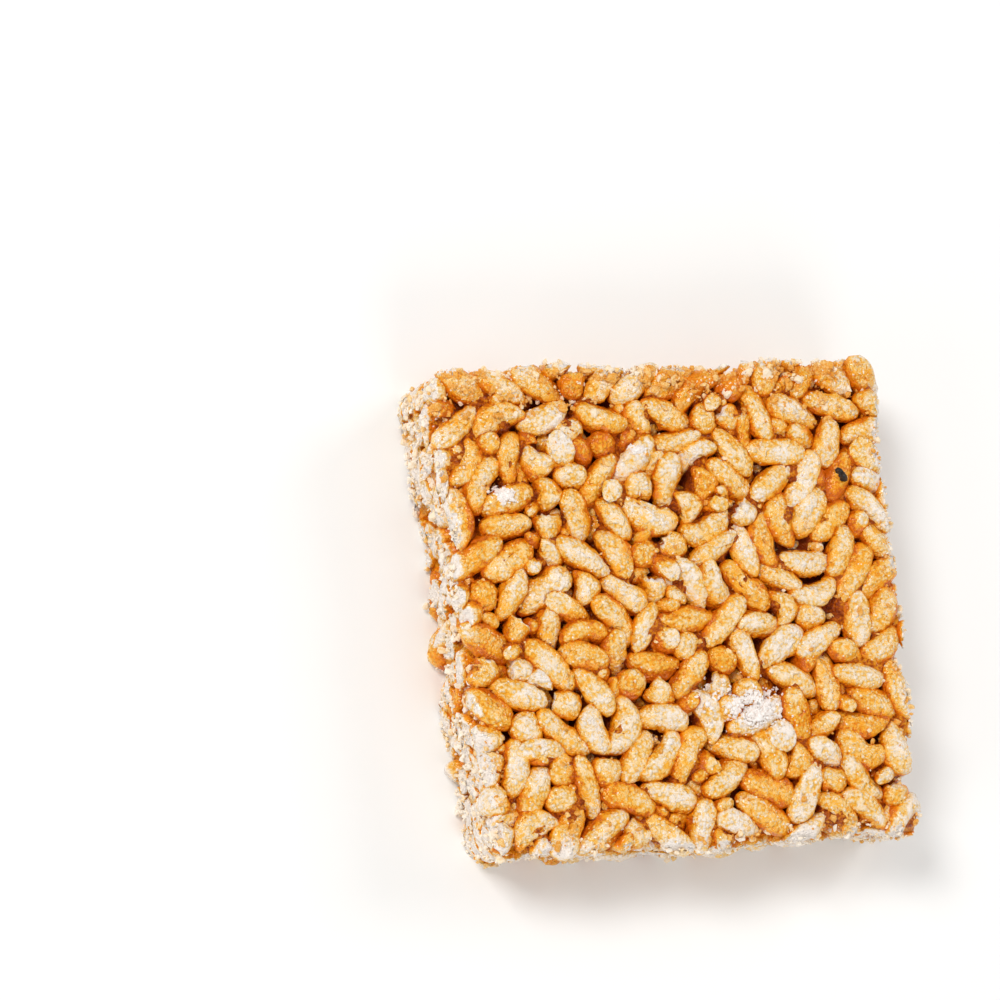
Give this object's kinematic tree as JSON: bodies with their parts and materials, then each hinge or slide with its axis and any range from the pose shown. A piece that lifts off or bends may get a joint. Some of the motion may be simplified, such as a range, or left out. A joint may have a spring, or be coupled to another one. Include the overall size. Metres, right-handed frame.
{
  "type": "puffed rice cake",
  "caption": "Square slab of puffed rice grains bound with syrup, pressed flat and cut with a knife on its sides.",
  "frame": {"origin": "middle of the cake's bounding box at its underside, where it rests", "axes": "+Z up out of the shown face as the cake lies flat; +Y towards the edge that stands uppermost when the cake is propped on its other edge; +X to the right when the shown face is looked at with +Y up"},
  "size_m": [0.0666, 0.0672, 0.0164],
  "materials": {
    "puffed_rice": "pale golden puffed grains under a thin glossy syrup glaze, with a dusty cut on the four sides"
  },
  "bodies": {
    "root": {"puffed_rice_cake": "puffed_rice"}
  },
  "joints": []
}
